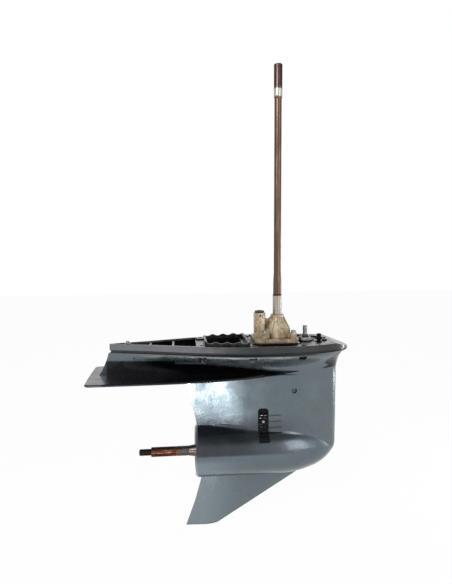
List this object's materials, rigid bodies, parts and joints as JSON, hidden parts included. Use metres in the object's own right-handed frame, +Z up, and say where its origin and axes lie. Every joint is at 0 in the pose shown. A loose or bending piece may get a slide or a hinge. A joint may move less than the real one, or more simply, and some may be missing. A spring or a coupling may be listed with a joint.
{
  "type": "outboard lower unit",
  "caption": "Outboard motor lower unit: gearcase with skeg and anti-ventilation plate, long drive shaft, water pump, shift rod and splined propeller shaft.",
  "frame": {"origin": "on the drive shaft's axis, in the plane of the deck joint", "axes": "+X towards the bow, +Y to port, +Z up along the drive shaft"},
  "size_m": [0.639, 0.178, 1.134],
  "materials": {
    "case_paint": "glossy blue-grey paint on cast aluminium",
    "black_plastic": "moulded, matt",
    "stainless": "bright",
    "black_rubber": "oily, semi-gloss",
    "gasket": "pressed fibre",
    "pump_plastic": "ivory nylon, stained brown",
    "bare_aluminium": "cast, dull",
    "drive_shaft_steel": "steel with a copper-brown film, bright at the collar and foot",
    "prop_shaft_steel": "steel, copper-brown on the spline",
    "rod_steel": "dull grey",
    "gear_steel": "hardened, oily",
    "bearing_steel": "ground"
  },
  "bodies": {
    "housing": {"gearcase_housing": "case_paint", "inlet_screen_port": "black_plastic", "inlet_screen_starboard": "black_plastic", "inlet_screen_screw": "stainless", "oil_level_plug": "stainless", "oil_drain_plug": "stainless", "oil_plug_gaskets": "gasket", "dowel_pins": "stainless", "exhaust_seal": "black_rubber", "hose_fitting": "black_plastic", "driveshaft_bearing_cup": "bearing_steel", "bearing_ring_nut": "gear_steel", "seal_carrier": "bare_aluminium", "seal_carrier_oring": "black_rubber", "driveshaft_seals": "black_rubber", "lower_needle_shell": "bearing_steel", "lower_needles": "bearing_steel", "pump_gasket": "gasket", "pump_wear_plate": "stainless", "pump_housing": "pump_plastic", "impeller_cup": "stainless", "pump_bolts": "stainless", "pump_washers": "stainless", "water_tube_seal": "black_rubber", "shift_rod_retainer": "bare_aluminium", "retainer_screws": "stainless", "shift_rod_boot": "black_rubber", "forward_bearing_cup": "bearing_steel", "forward_shim": "bearing_steel", "bearing_carrier": "bare_aluminium", "carrier_oring": "black_rubber", "prop_needle_shell": "bearing_steel", "prop_needles": "bearing_steel", "prop_shaft_seals": "black_rubber", "reverse_bearing_outer_race": "bearing_steel", "carrier_ring_nut": "bare_aluminium", "carrier_tab_washer": "stainless"},
    "drive_shaft": {"drive_shaft": "drive_shaft_steel", "driveshaft_bearing_cone": "bearing_steel", "driveshaft_bearing_rollers": "bearing_steel", "impeller": "black_rubber", "impeller_key": "stainless", "pinion_gear": "gear_steel", "pinion_shim": "bearing_steel", "pinion_nut": "gear_steel"},
    "forward_gear": {"forward_gear": "gear_steel", "forward_bearing_cone": "bearing_steel", "forward_bearing_rollers": "bearing_steel", "forward_hub_bearing": "bearing_steel"},
    "reverse_gear": {"reverse_gear": "gear_steel", "reverse_bearing_inner_race": "bearing_steel", "reverse_bearing_balls": "bearing_steel"},
    "prop_shaft": {"prop_shaft": "prop_shaft_steel", "reverse_thrust_washer": "bearing_steel"},
    "clutch": {"dog_clutch": "gear_steel", "clutch_cross_pin": "bearing_steel", "clutch_pin_spring": "bearing_steel", "shift_slider": "rod_steel"},
    "shift_rod": {"shift_rod": "rod_steel", "shift_crank": "rod_steel"}
  },
  "joints": [
    {"name": "drive_shaft_spin", "type": "hinge", "parent": "housing", "child": "drive_shaft", "pos_m": [0, 0, 0], "axis": [0, 0, 1], "continuous": true},
    {"name": "forward_gear_spin", "type": "hinge", "parent": "housing", "child": "forward_gear", "pos_m": [0.04, 0, -0.276], "axis": [1, 0, 0], "continuous": true},
    {"name": "reverse_gear_spin", "type": "hinge", "parent": "housing", "child": "reverse_gear", "pos_m": [-0.04, 0, -0.276], "axis": [1, 0, 0], "continuous": true},
    {"name": "prop_shaft_spin", "type": "hinge", "parent": "housing", "child": "prop_shaft", "pos_m": [-0.16, 0, -0.276], "axis": [1, 0, 0], "continuous": true},
    {"name": "clutch_slide", "type": "slide", "parent": "prop_shaft", "child": "clutch", "axis": [1, 0, 0], "range_m": [-0.004, 0.004]},
    {"name": "shift_rod_turn", "type": "hinge", "parent": "housing", "child": "shift_rod", "pos_m": [0.071, 0, 0], "axis": [0, 0, 1], "range_deg": [-26, 26]}
  ],
  "couplings": [
    {"joint": "forward_gear_spin", "follows": "drive_shaft_spin", "ratio": -0.5},
    {"joint": "reverse_gear_spin", "follows": "drive_shaft_spin", "ratio": 0.5},
    {"joint": "shift_rod_turn", "follows": "clutch_slide", "rad_per_m": -109.08}
  ]
}
